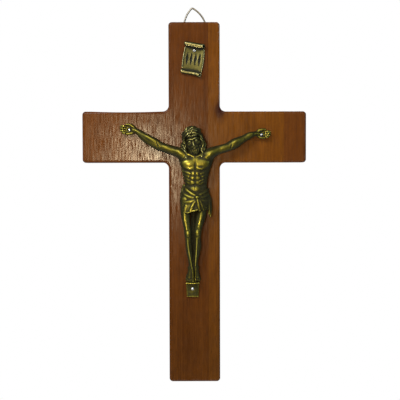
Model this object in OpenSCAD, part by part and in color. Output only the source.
// Wall crucifix: a wooden cross glued up from upright staves, with a cast figure and a cast scroll
// nailed to its front, and a wire hanging ring on a one-screw strap let into the back.
//
// Frame: millimetres, +X to the viewer's right, +Z up, the front facing -Y.
// The origin is on the back face, at the middle of the crossing.

/* [Cross] */
// Height of the wooden cross
cross_h = 300; // [280:5:320]
// Height of the middle of the crossing above the lower end
crossing_h = 205; // [200:1:210]
// Width across both arms
arm_span = 186; // [180:1:200]
// Width of the upright and of the arms
bar_w = 42.5; // [41:0.5:46]
// Thickness of the board
board_t = 16; // [14:0.5:22]
// Radius of the outer corners, seen from the front
corner_r = 2.8; // [2.4:0.2:4]
// Radius of the inner corners, seen from the front
inner_r = 5; // [4:0.5:8]
// Radius of the rounded front edge
edge_r = 2; // [1:0.25:2]
// Depth of the hollow in the upper edge of the left arm
arm_hollow = 0.7; // [0.4:0.1:0.9]

/* [Staves] */
// Width of one glued stave
stave_w = 62.8; // [60:0.2:64]
// Place of the glue line nearest the middle
seam_x = 11.7; // [11:0.1:13]

/* [Nails] */
// Diameter of a nail's domed head
nail_head_d = 3; // [2.6:0.1:3.4]
// Diameter of a nail's shank
nail_d = 1.4; // [1.2:0.1:1.6]
// Length of a nail under its head
nail_l = 13; // [12:0.5:14]

/* [Hanger] */
// Lean of the strap and ring towards the viewer's left, in degrees
hanger_lean = 8.3; // [0:0.1:10]
// Distance of the strap's screw to the right of the middle
hanger_x = 2.75; // [0:0.25:3]
// Distance of the strap's screw below the upper end of the cross
hanger_drop = 15.8; // [15:0.1:17]
// Diameter of the ring's wire
wire_d = 1.5; // [1.3:0.1:1.6]
// Depth of the pocket that lets the hanger lie under the back face
pocket_d = 4; // [3.8:0.1:5]

/* [Hidden] */
$fn = 48;
FIGURE_FN = 14;              // facets round the figure's limbs
WIRE_SIDES = 16;             // facets round the ring's bow
ARC_STEPS = 8;               // steps along each arc of the bow
OVER = 1;                    // how far a cutter runs past the face that it opens

cross_top = cross_h - crossing_h;
cross_bottom = -crossing_h;
half_bar = bar_w / 2;
half_span = arm_span / 2;
front_y = -board_t;          // the board's front face

hollow_l = 60;               // length of the hollow in the left arm's upper edge
hollow_x = -56;              // middle of that hollow
hollow_r = (pow(hollow_l / 2, 2) + pow(arm_hollow, 2)) / (2 * arm_hollow);

seams = [seam_x - stave_w, seam_x, seam_x + stave_w];

// Nail places, x and z.
left_hand = [-53.5, 5.9];
right_hand = [55.4, 1.5];
footrest_nail = [-1.7, -126.2];
scroll_nail = [0.3, 71.1];

// How far the seat under a nail's head stands off the board.
hand_seat = 2.6;
footrest_seat = 2.2;
scroll_seat = 1.2;
nail_gap = 0.15;             // play round a shank where it goes through a casting
seat_gap = 0.25;             // play round a nail's head in its seat
nail_dome_h = 1.2;
nail_tip_l = 3;

// Footrest, cast in one with the figure.
ledge_z = -120.6;            // top of the ledge under the feet
ledge_t = 1.4;
ledge_out = 7.5;             // how far the ledge stands off the board
plate_low = -133.2;          // lower end of the plate below the ledge
plate_top_half = 5.6;        // half its width under the ledge
plate_low_half = 4.9;
footrest_x = -1.7;

// Scroll, which leans to the viewer's right. Its own frame is at the middle of the upper roll.
scroll_lean = 8;
scroll_x = 0.95;
scroll_z = 75.4;
scroll_t = scroll_seat;      // thickness of its sheet
scroll_h = 23;               // from roll to roll
scroll_half = 8.7;           // half the sheet's width at its widest
side_bow_r = 130;            // radius of its bowed sides
top_roll_r = 2.2;
top_roll_half = 8.2;
low_roll_r = 1.9;
low_roll_half = 8.8;
mark_half_w = 0.9;           // the engraved marks: a row of upright lozenges
mark_half_l = 4.4;
mark_depth = 0.4;
mark_z = -11.4;
mark_columns = [-5.1 : 3.4 : 5.1];

// Hanger: distances from the screw, which the strap turns on.
strap_w = 9;
strap_t = 1.6;               // two layers of sheet, folded round the wire
strap_tail = 6;              // screw to the strap's round lower end
strap_play = 0.05;           // play between the strap and the wood, and under the screw's head
curl_up = 8.5;               // screw to the wire's straight base
curl_gap = 0.05;             // running clearance round the wire
curl_wall = 0.8;
curl_r = wire_d / 2 + curl_gap + curl_wall;
strap_y = -pocket_d + strap_play;
curl_y = strap_y + curl_r;
side_r = 23;                 // radius of the ring's bowed sides, at the wire's middle
side_turn = 51.3;            // degrees that each side turns through
foot_r = 2.8;                // radius of the ring's lower corners
apex_r = 1.4;                // radius of the ring's upper corner
half_ring = side_r * (1 - cos(side_turn)) + apex_r * cos(side_turn);
base_half = half_ring - foot_r;
apex_h = foot_r + (side_r - apex_r) * sin(side_turn);
bow_inset = 0.5;             // how far the bow's ends reach into the base bar
bow_fit = 0.99;              // the bow is a hair thinner than the base bar that it enters
screw_d = 2.7;
screw_gap = 0.05;
screw_head_d = 5.2;
screw_head_h = 1.2;
screw_l = 10;                // length in the wood
pocket_half_w = 16;
pocket_h = 24;
pocket_r = 3;

// ---- helpers ----

// Puts a shape drawn in the x-z plane, with its height towards the viewer, at y.
module facing_front(y) {
    translate([0, y, 0]) rotate([90, 0, 0]) children();
}

// ---- the wooden cross ----

// Outline of the cross, seen from the front.
module outline() {
    difference() {
        union() {
            rounded_rect(-half_bar, cross_bottom, half_bar, cross_top);
            rounded_rect(-half_span, -half_bar, half_span, half_bar);
            for (sx = [-1, 1], sz = [-1, 1]) at_corner(sx, sz) inner_corner();
        }
        arm_edge_hollow();
    }
}

// The shallow hollow in the left arm's upper edge.
module arm_edge_hollow() {
    intersection() {
        translate([hollow_x, half_bar - arm_hollow + hollow_r]) circle(r = hollow_r, $fn = 720);
        translate([hollow_x - hollow_l / 2, half_bar - OVER]) square([hollow_l, 2 * OVER]);
    }
}

module at_corner(sx, sz) {
    mirror([sx < 0 ? 1 : 0, 0]) mirror([0, sz < 0 ? 1 : 0]) translate([half_bar, half_bar]) children();
}

// Wood left in an inner corner by the round cutter.
module inner_corner() {
    difference() {
        square(inner_r);
        translate([inner_r, inner_r]) circle(r = inner_r);
    }
}

module rounded_rect(x0, z0, x1, z1) {
    r = corner_r;
    translate([x0 + r, z0]) square([x1 - x0 - 2 * r, z1 - z0]);
    translate([x0, z0 + r]) square([x1 - x0, z1 - z0 - 2 * r]);
    for (x = [x0 + r, x1 - r], z = [z0 + r, z1 - r]) translate([x, z]) circle(r = r);
}

// Section of the wood that a rounding cutter takes off, with the edge at the origin.
module edge_waste() {
    difference() {
        translate([-OVER, -OVER]) square(edge_r + OVER);
        translate([edge_r, edge_r]) circle(r = edge_r);
    }
}

// Cutter along a straight front edge of length l, which starts at (x, z) and runs at the angle a,
// with the wood on its left.
module straight_round(x, z, a, l) {
    translate([x, front_y, z]) rotate([0, -a, 0])
        rotate([90, 0, 90]) linear_extrude(l) edge_waste();
}

// Cutter for the quarter of a round at (x, z) that starts at the angle a. The wood lies inside the
// radius r, or outside it where the round is an inner corner.
module turned_round(x, z, a, r, inner = false) {
    side = inner ? 1 : -1;
    translate([x, front_y, z]) rotate([90, 0, 0]) mirror([0, 0, 1]) rotate([0, 0, a])
        rotate_extrude(angle = 90) difference() {
            translate([inner ? r - OVER : r - edge_r, -OVER]) square([edge_r + OVER, edge_r + OVER]);
            translate([r + side * edge_r, edge_r]) circle(r = edge_r);
        }
}

module cross_blank() {
    facing_front(0) linear_extrude(board_t) outline();
}

// One stave: the part of the board between x0 and x1, with its pockets and nail holes.
module stave(x0, x1) {
    color("saddlebrown")
    difference() {
        intersection() {
            rounded_board();
            translate([x0, -board_t - OVER, cross_bottom - OVER])
                cube([x1 - x0, board_t + 2 * OVER, cross_h + 2 * OVER]);
        }
        hanger_pocket();
        nail_shank(left_hand, hand_seat);
        nail_shank(right_hand, hand_seat);
        nail_shank(footrest_nail, footrest_seat);
        nail_shank(scroll_nail, scroll_seat);
        screw_shank();
    }
}

module rounded_board() {
    difference() {
        cross_blank();
        front_edge_waste();
    }
}

// Everything that the round cutter takes off the front edge.
module front_edge_waste() {
    w = half_bar;
    s = half_span;
    c = corner_r;
    f = inner_r;
    // ends of the four limbs
    straight_round(-w + c, cross_bottom, 0, bar_w - 2 * c);
    straight_round(w - c, cross_top, 180, bar_w - 2 * c);
    straight_round(s, -w + c, 90, bar_w - 2 * c);
    straight_round(-s, w - c, -90, bar_w - 2 * c);
    // long sides of the upright
    straight_round(w, cross_bottom + c, 90, -cross_bottom - c - w - f);
    straight_round(w, w + f, 90, cross_top - w - f - c);
    straight_round(-w, cross_top - c, -90, cross_top - w - f - c);
    straight_round(-w, -w - f, -90, -cross_bottom - c - w - f);
    // long sides of the arms
    straight_round(w + f, -w, 0, s - c - w - f);
    straight_round(-s + c, -w, 0, s - c - w - f);
    straight_round(s - c, w, 180, s - c - w - f);
    straight_round(-w - f, w, 180, s - c - w - f);
    // outer corners
    for (sx = [-1, 1], sz = [-1, 1]) {
        a = sx > 0 ? (sz > 0 ? 0 : 270) : (sz > 0 ? 90 : 180);
        turned_round(sx * (s - c), sz * (w - c), a, c);
        turned_round(sx * (w - c), sz > 0 ? cross_top - c : cross_bottom + c, a, c);
        turned_round(sx * (w + f), sz * (w + f), a + 180, f, inner = true);
    }
}

module hanger_pocket() {
    pocket_z0 = cross_top - pocket_h;
    translate([0, OVER, 0]) rotate([90, 0, 0]) linear_extrude(pocket_d + OVER) {
        translate([-pocket_half_w, pocket_z0 + pocket_r])
            square([2 * pocket_half_w, cross_top + OVER - pocket_z0 - pocket_r]);
        translate([-pocket_half_w + pocket_r, pocket_z0])
            square([2 * (pocket_half_w - pocket_r), pocket_r + OVER]);
        for (x = [-1, 1]) translate([x * (pocket_half_w - pocket_r), pocket_z0 + pocket_r])
            circle(r = pocket_r);
    }
}

// ---- nails ----

// A nail's shank and point, for a head whose seat stands off the board by the given distance.
module nail_shank(place, seat) {
    translate([place[0], front_y - seat, place[1]]) rotate([-90, 0, 0]) {
        cylinder(d = nail_d, h = nail_l - nail_tip_l);
        translate([0, 0, nail_l - nail_tip_l]) cylinder(d1 = nail_d, d2 = 0.3, h = nail_tip_l);
    }
}

module nail(place, seat) {
    r = nail_head_d / 2;
    dome_r = (r * r + nail_dome_h * nail_dome_h) / (2 * nail_dome_h);
    color("lightsteelblue") {
        nail_shank(place, seat);
        translate([place[0], front_y - seat, place[1]]) rotate([90, 0, 0]) intersection() {
            cylinder(r = r, h = nail_dome_h);
            translate([0, 0, nail_dome_h - dome_r]) sphere(r = dome_r);
        }
    }
}

// Room for a nail in a casting: a clear hole and a flat seat under the head.
module nail_room(place, seat) {
    translate([place[0], front_y, place[1]]) rotate([90, 0, 0]) {
        translate([0, 0, -OVER]) cylinder(d = nail_d + 2 * nail_gap, h = seat + 2 * OVER);
        translate([0, 0, seat]) cylinder(d = nail_head_d + 2 * seat_gap, h = 6);
    }
}

// ---- the cast figure ----

// A run of flesh through points of the form [x, distance off the board, z, radius].
module limb(points) {
    for (i = [1 : len(points) - 1]) hull() {
        ball(points[i - 1]);
        ball(points[i]);
    }
}

module ball(p) {
    translate([p[0], front_y - p[1], p[2]]) sphere(r = p[3], $fn = FIGURE_FN);
}

// A run of slices of the form [x, distance off the board, z, half width, half depth].
module trunk(slices) {
    for (i = [1 : len(slices) - 1]) hull() {
        slice(slices[i - 1]);
        slice(slices[i]);
    }
}

module slice(s) {
    translate([s[0], front_y - s[1], s[2]]) scale([s[3], s[4], 3]) sphere(r = 1, $fn = 2 * FIGURE_FN);
}

module corpus() {
    color("darkgoldenrod") difference() {
        intersection() {
            union() {
                trunk([[1.9, 8, -15, 12.6, 6], [2, 8.6, -20, 13, 6.6], [1.9, 8.6, -27, 11.8, 6.6],
                    [1.4, 8, -38, 9.3, 5.6]]);
                arms();
                head();
                loincloth();
                legs();
                footrest();
            }
            translate([-half_span, front_y - 40, cross_bottom]) cube([arm_span, 40, cross_h]);
        }
        nail_room(left_hand, hand_seat);
        nail_room(right_hand, hand_seat);
        nail_room(footrest_nail, footrest_seat);
    }
}

module arms() {
    limb([[-9, 9.5, -13.2, 4.8], [-21.5, 8.8, -10, 3.6], [-30, 7.6, -6.7, 4.2], [-39, 6, -1.6, 3.9],
        [-47.6, 3.4, 5, 2.1]]);
    limb([[-49.5, 2.2, 5.6, 2.2], [-56, 2, 6.4, 3.2], [-61, 2.6, 5.3, 1.2]]);
    limb([[-55.5, 2.6, 9.5, 1.5], [-58.5, 2.6, 9.4, 1.2]]);
    limb([[11, 9.5, -13.6, 4.8], [26, 8.8, -9.3, 3.5], [32, 7.6, -6.2, 4.2], [42, 5.6, -0.2, 3.3],
        [51, 3.2, 2.5, 2]]);
    limb([[52, 2.2, 2.2, 2], [57, 2, 2.2, 3.2], [63, 2.6, 2.6, 1.2]]);
    limb([[56.5, 2.6, 5.4, 1.4], [59.5, 2.6, 5.4, 1.1]]);
}

// A plain egg for the head, with its hair, beard and headband.
module head() {
    translate([-0.7, front_y - 13.2, -2.8]) rotate([12, -14, 0]) {
        scale([6.2, 7.4, 9.4]) sphere(r = 1, $fn = 2 * FIGURE_FN);
        translate([0, 0, 3.6]) rotate([-10, 0, 0]) scale([6.9, 7.7, 2]) sphere(r = 1, $fn = 2 * FIGURE_FN);
        translate([0, -4.2, -8.2]) scale([3.6, 3, 4.6]) sphere(r = 1, $fn = 2 * FIGURE_FN);
    }
    limb([[-4.4, 10.5, 5.6, 3.4], [-7.2, 11, -2, 3.2], [-7, 11, -10, 3], [-6.6, 12.5, -14.4, 2.2]]);
    limb([[2.2, 10.5, 5, 3.4], [5, 11, -4, 3.4], [5.6, 11, -10, 3], [5.6, 12.5, -13, 2]]);
    limb([[0.4, 8, -8, 5.6], [1.4, 8.4, -15, 6]]);
}

module loincloth() {
    trunk([[1.2, 7.9, -41.5, 9.8, 5.7], [0.4, 8.2, -47, 11.8, 6.3], [0.2, 8.8, -53, 12.6, 6.8],
        [-0.2, 9.2, -59, 11.6, 6.6]]);
    limb([[-9, 9.5, -40.5, 2.2], [2, 13.8, -48.5, 2.4], [10, 10.5, -44.8, 2.2]]);
    limb([[2.6, 14.6, -50, 2.6], [4.4, 14.6, -59.5, 2.4]]);
    limb([[10.6, 9, -48, 2.4], [12, 8, -64, 1.8]]);
}

module legs() {
    limb([[-5.6, 9.6, -58, 6.1], [-4.6, 12.2, -74, 4.5], [-4.4, 12.4, -80.5, 3.9], [-4.2, 10, -90, 3.3],
        [-3.2, 7.4, -104, 2.4], [-2.6, 6.8, -109.5, 2.7], [-3, 4.6, -119, 3]]);
    limb([[4.6, 9.6, -58, 5.9], [3.2, 12, -73, 4.2], [2.4, 12.2, -79.5, 3.7], [1.7, 10, -89, 3.2],
        [0.6, 6.4, -104, 2.3], [0.8, 5.6, -109.5, 2.6], [1.4, 3.8, -119, 2.7]]);
    limb([[-0.8, 4.6, -62, 3.4], [-0.6, 6, -78, 2.6], [-0.8, 4, -90, 2.4], [-1, 2.6, -106, 2.4],
        [-1.2, 2, -119, 2.6]]);
}

module footrest() {
    facing_front(front_y) {
        linear_extrude(footrest_seat) polygon([
            [footrest_x - plate_top_half, ledge_z],
            [footrest_x + plate_top_half, ledge_z],
            [footrest_x + plate_low_half, plate_low],
            [footrest_x - plate_low_half, plate_low]
        ]);
        translate([footrest_x - plate_top_half, ledge_z - ledge_t, 0])
            cube([2 * plate_top_half, ledge_t, ledge_out]);
    }
}

// ---- the scroll ----

module in_scroll_frame() {
    translate([scroll_x, front_y, scroll_z]) rotate([90, 0, 0]) rotate([0, 0, -scroll_lean]) children();
}

// A roll whose middle is at the height z in the scroll's frame.
module roll(z, r, half) {
    translate([-half, z, r]) rotate([0, 90, 0]) cylinder(r = r, h = 2 * half);
}

module titulus_scroll() {
    color("goldenrod") difference() {
        in_scroll_frame() {
            difference() {
                linear_extrude(scroll_t) intersection() {
                    translate([-scroll_half, -scroll_h]) square([2 * scroll_half, scroll_h]);
                    bowed_sides();
                }
                for (x = mark_columns)
                    translate([x, mark_z, scroll_t - mark_depth])
                        scale([mark_half_w, mark_half_l, 1])
                            cylinder(r = 1, h = mark_depth + OVER, $fn = 4);
            }
            roll(0, top_roll_r, top_roll_half);
            roll(-scroll_h, low_roll_r, low_roll_half);
        }
        nail_room(scroll_nail, scroll_seat);
    }
}

// The sheet's bowed sides, widest two thirds of the way down.
module bowed_sides() {
    intersection() {
        translate([side_bow_r - scroll_half, -scroll_h * 2 / 3]) circle(r = side_bow_r, $fn = 360);
        translate([scroll_half - side_bow_r, -scroll_h * 2 / 3]) circle(r = side_bow_r, $fn = 360);
    }
}

// ---- the hanger ----

// The hanger's own frame: the screw's axis is at the origin, the strap points up, the back is +Y.
module in_hanger_frame() {
    translate([hanger_x, 0, cross_top - hanger_drop]) rotate([0, -hanger_lean, 0]) children();
}

module screw_shank() {
    translate([hanger_x, -pocket_d, cross_top - hanger_drop]) rotate([90, 0, 0])
        cylinder(d = screw_d, h = screw_l);
}

module hanger_screw() {
    neck = strap_t + 2 * strap_play;    // from the pocket's floor to the head
    dome_r = (pow(screw_head_d / 2, 2) + pow(screw_head_h, 2)) / (2 * screw_head_h);
    color("silver") {
        screw_shank();
        translate([hanger_x, -pocket_d, cross_top - hanger_drop]) rotate([-90, 0, 0]) {
            translate([0, 0, -OVER]) cylinder(d = screw_d, h = neck + OVER);
            translate([0, 0, neck]) difference() {
                intersection() {
                    cylinder(d = screw_head_d, h = screw_head_h);
                    translate([0, 0, screw_head_h - dome_r]) sphere(r = dome_r);
                }
                for (turn = [0, 90]) rotate([0, 0, turn + 30])
                    translate([-1.4, -0.25, 0.5]) cube([2.8, 0.5, screw_head_h]);
            }
        }
    }
}

module hanger_strap() {
    color("darkgray") in_hanger_frame() difference() {
        union() {
            translate([0, strap_y, 0]) rotate([-90, 0, 0]) linear_extrude(strap_t) {
                translate([-strap_w / 2, -curl_up]) square([strap_w, curl_up + strap_tail - strap_w / 2]);
                translate([0, strap_tail - strap_w / 2]) circle(d = strap_w);
            }
            translate([-strap_w / 2, curl_y, curl_up]) rotate([0, 90, 0]) cylinder(r = curl_r, h = strap_w);
        }
        translate([-strap_w / 2 - OVER, curl_y, curl_up]) rotate([0, 90, 0])
            cylinder(r = wire_d / 2 + curl_gap, h = strap_w + 2 * OVER);
        translate([0, strap_y - OVER, 0]) rotate([-90, 0, 0])
            cylinder(d = screw_d + 2 * screw_gap, h = strap_t + 2 * OVER);
    }
}

// Points along an arc about (x, z), each with the angle of its outward normal.
function arc(x, z, r, a0, a1) = [
    for (i = [0 : ARC_STEPS]) let (a = a0 + (a1 - a0) * i / ARC_STEPS) [x + r * cos(a), z + r * sin(a), a]
];

// Middle line of the ring's right half, from inside the base bar's end up to the top.
function half_bow() = concat(
    [[base_half - bow_inset, 0, -90]],
    arc(base_half, foot_r, foot_r, -90, 0),
    [for (p = arc(half_ring - side_r, foot_r, side_r, 0, side_turn)) if (p[2] > 0) p],
    [for (p = arc(0, apex_h, apex_r, side_turn, 90)) if (p[2] > side_turn) p]
);

// The whole bow: the right half, then the left half back down.
function bow_path() = let (right = half_bow(), n = len(right)) concat(
    right,
    [for (i = [n - 2 : -1 : 0]) [-right[i][0], right[i][1], 180 - right[i][2]]]
);

// A tube of radius r along a flat path.
module tube(path, r) {
    m = WIRE_SIDES;
    last = len(path) - 1;
    points = [
        for (p = path, j = [0 : m - 1]) let (out = r * cos(360 * j / m))
            [p[0] + out * cos(p[2]), r * sin(360 * j / m), p[1] + out * sin(p[2])]
    ];
    sides = [
        for (i = [0 : last - 1], j = [0 : m - 1]) let (k = (j + 1) % m)
            [i * m + j, (i + 1) * m + j, (i + 1) * m + k, i * m + k]
    ];
    caps = [[for (j = [0 : m - 1]) j], [for (j = [m - 1 : -1 : 0]) last * m + j]];
    polyhedron(points, concat(sides, caps));
}

module hanger_ring() {
    color("lightslategray") in_hanger_frame() translate([0, curl_y, curl_up]) {
        translate([-base_half, 0, 0]) rotate([0, 90, 0]) cylinder(d = wire_d, h = 2 * base_half);
        tube(bow_path(), bow_fit * wire_d / 2);
    }
}

stave(-half_span - OVER, seams[0]);  // stave_outer_left
stave(seams[0], seams[1]);  // stave_inner_left
stave(seams[1], seams[2]);  // stave_inner_right
stave(seams[2], half_span + OVER);  // stave_outer_right
corpus();
titulus_scroll();
nail(left_hand, hand_seat);  // nail_left_hand
nail(right_hand, hand_seat);  // nail_right_hand
nail(footrest_nail, footrest_seat);  // nail_footrest
nail(scroll_nail, scroll_seat);  // nail_titulus
hanger_screw();
hanger_strap();
hanger_ring();
